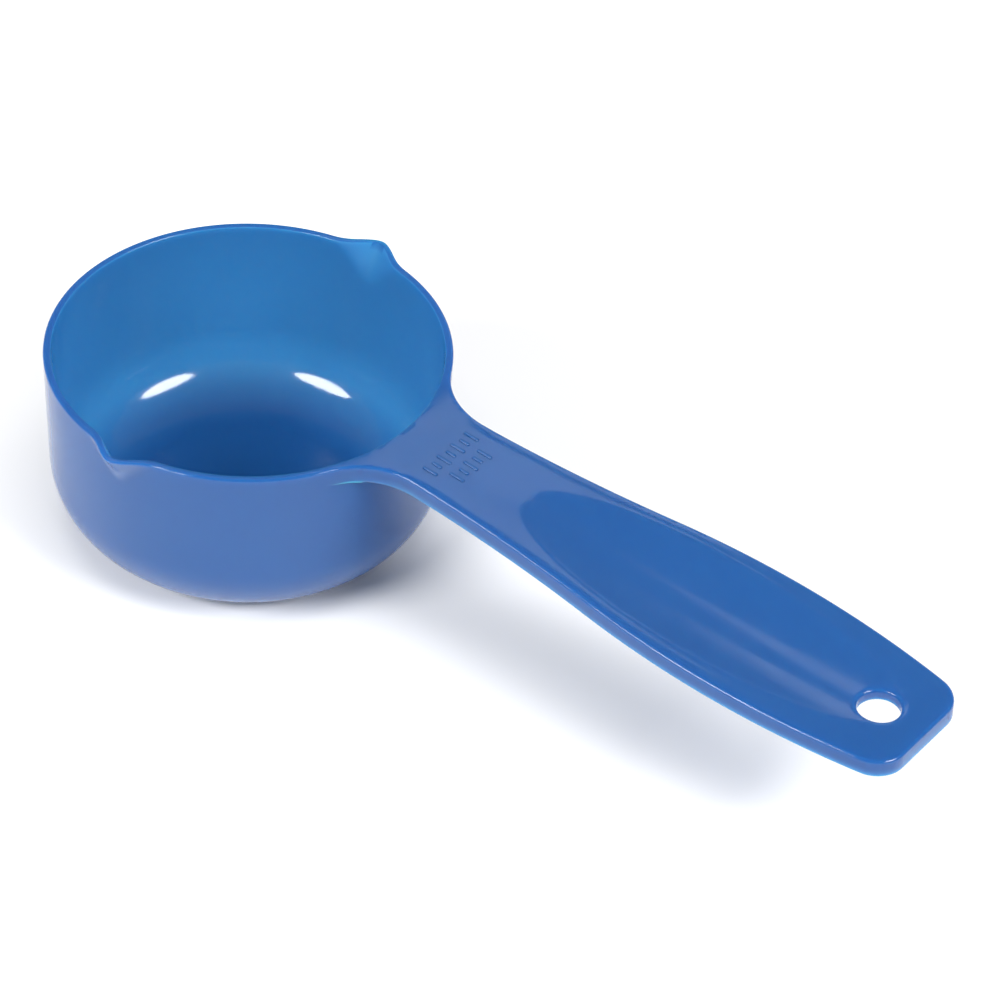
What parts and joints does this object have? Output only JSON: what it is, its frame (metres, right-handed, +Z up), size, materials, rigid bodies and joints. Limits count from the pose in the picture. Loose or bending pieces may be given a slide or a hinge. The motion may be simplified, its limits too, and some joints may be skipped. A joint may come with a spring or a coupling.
{
  "type": "measuring scoop",
  "caption": "Moulded plastic measuring scoop for dry feed, with a round flat-bottomed bowl, pouring lips on both sides, a sloping dished handle and a hanging hole",
  "frame": {"origin": "centre of the bowl's flat base, where the scoop rests", "axes": "+X runs from the bowl along the handle, +Z is up out of the bowl's mouth, and the pouring lips point along +Y and -Y"},
  "size_m": [0.1546, 0.0676, 0.0314],
  "materials": {
    "blue_plastic": "gloss"
  },
  "bodies": {
    "root": {"bowl": "blue_plastic", "handle": "blue_plastic", "raised_strokes": "blue_plastic"}
  },
  "joints": []
}
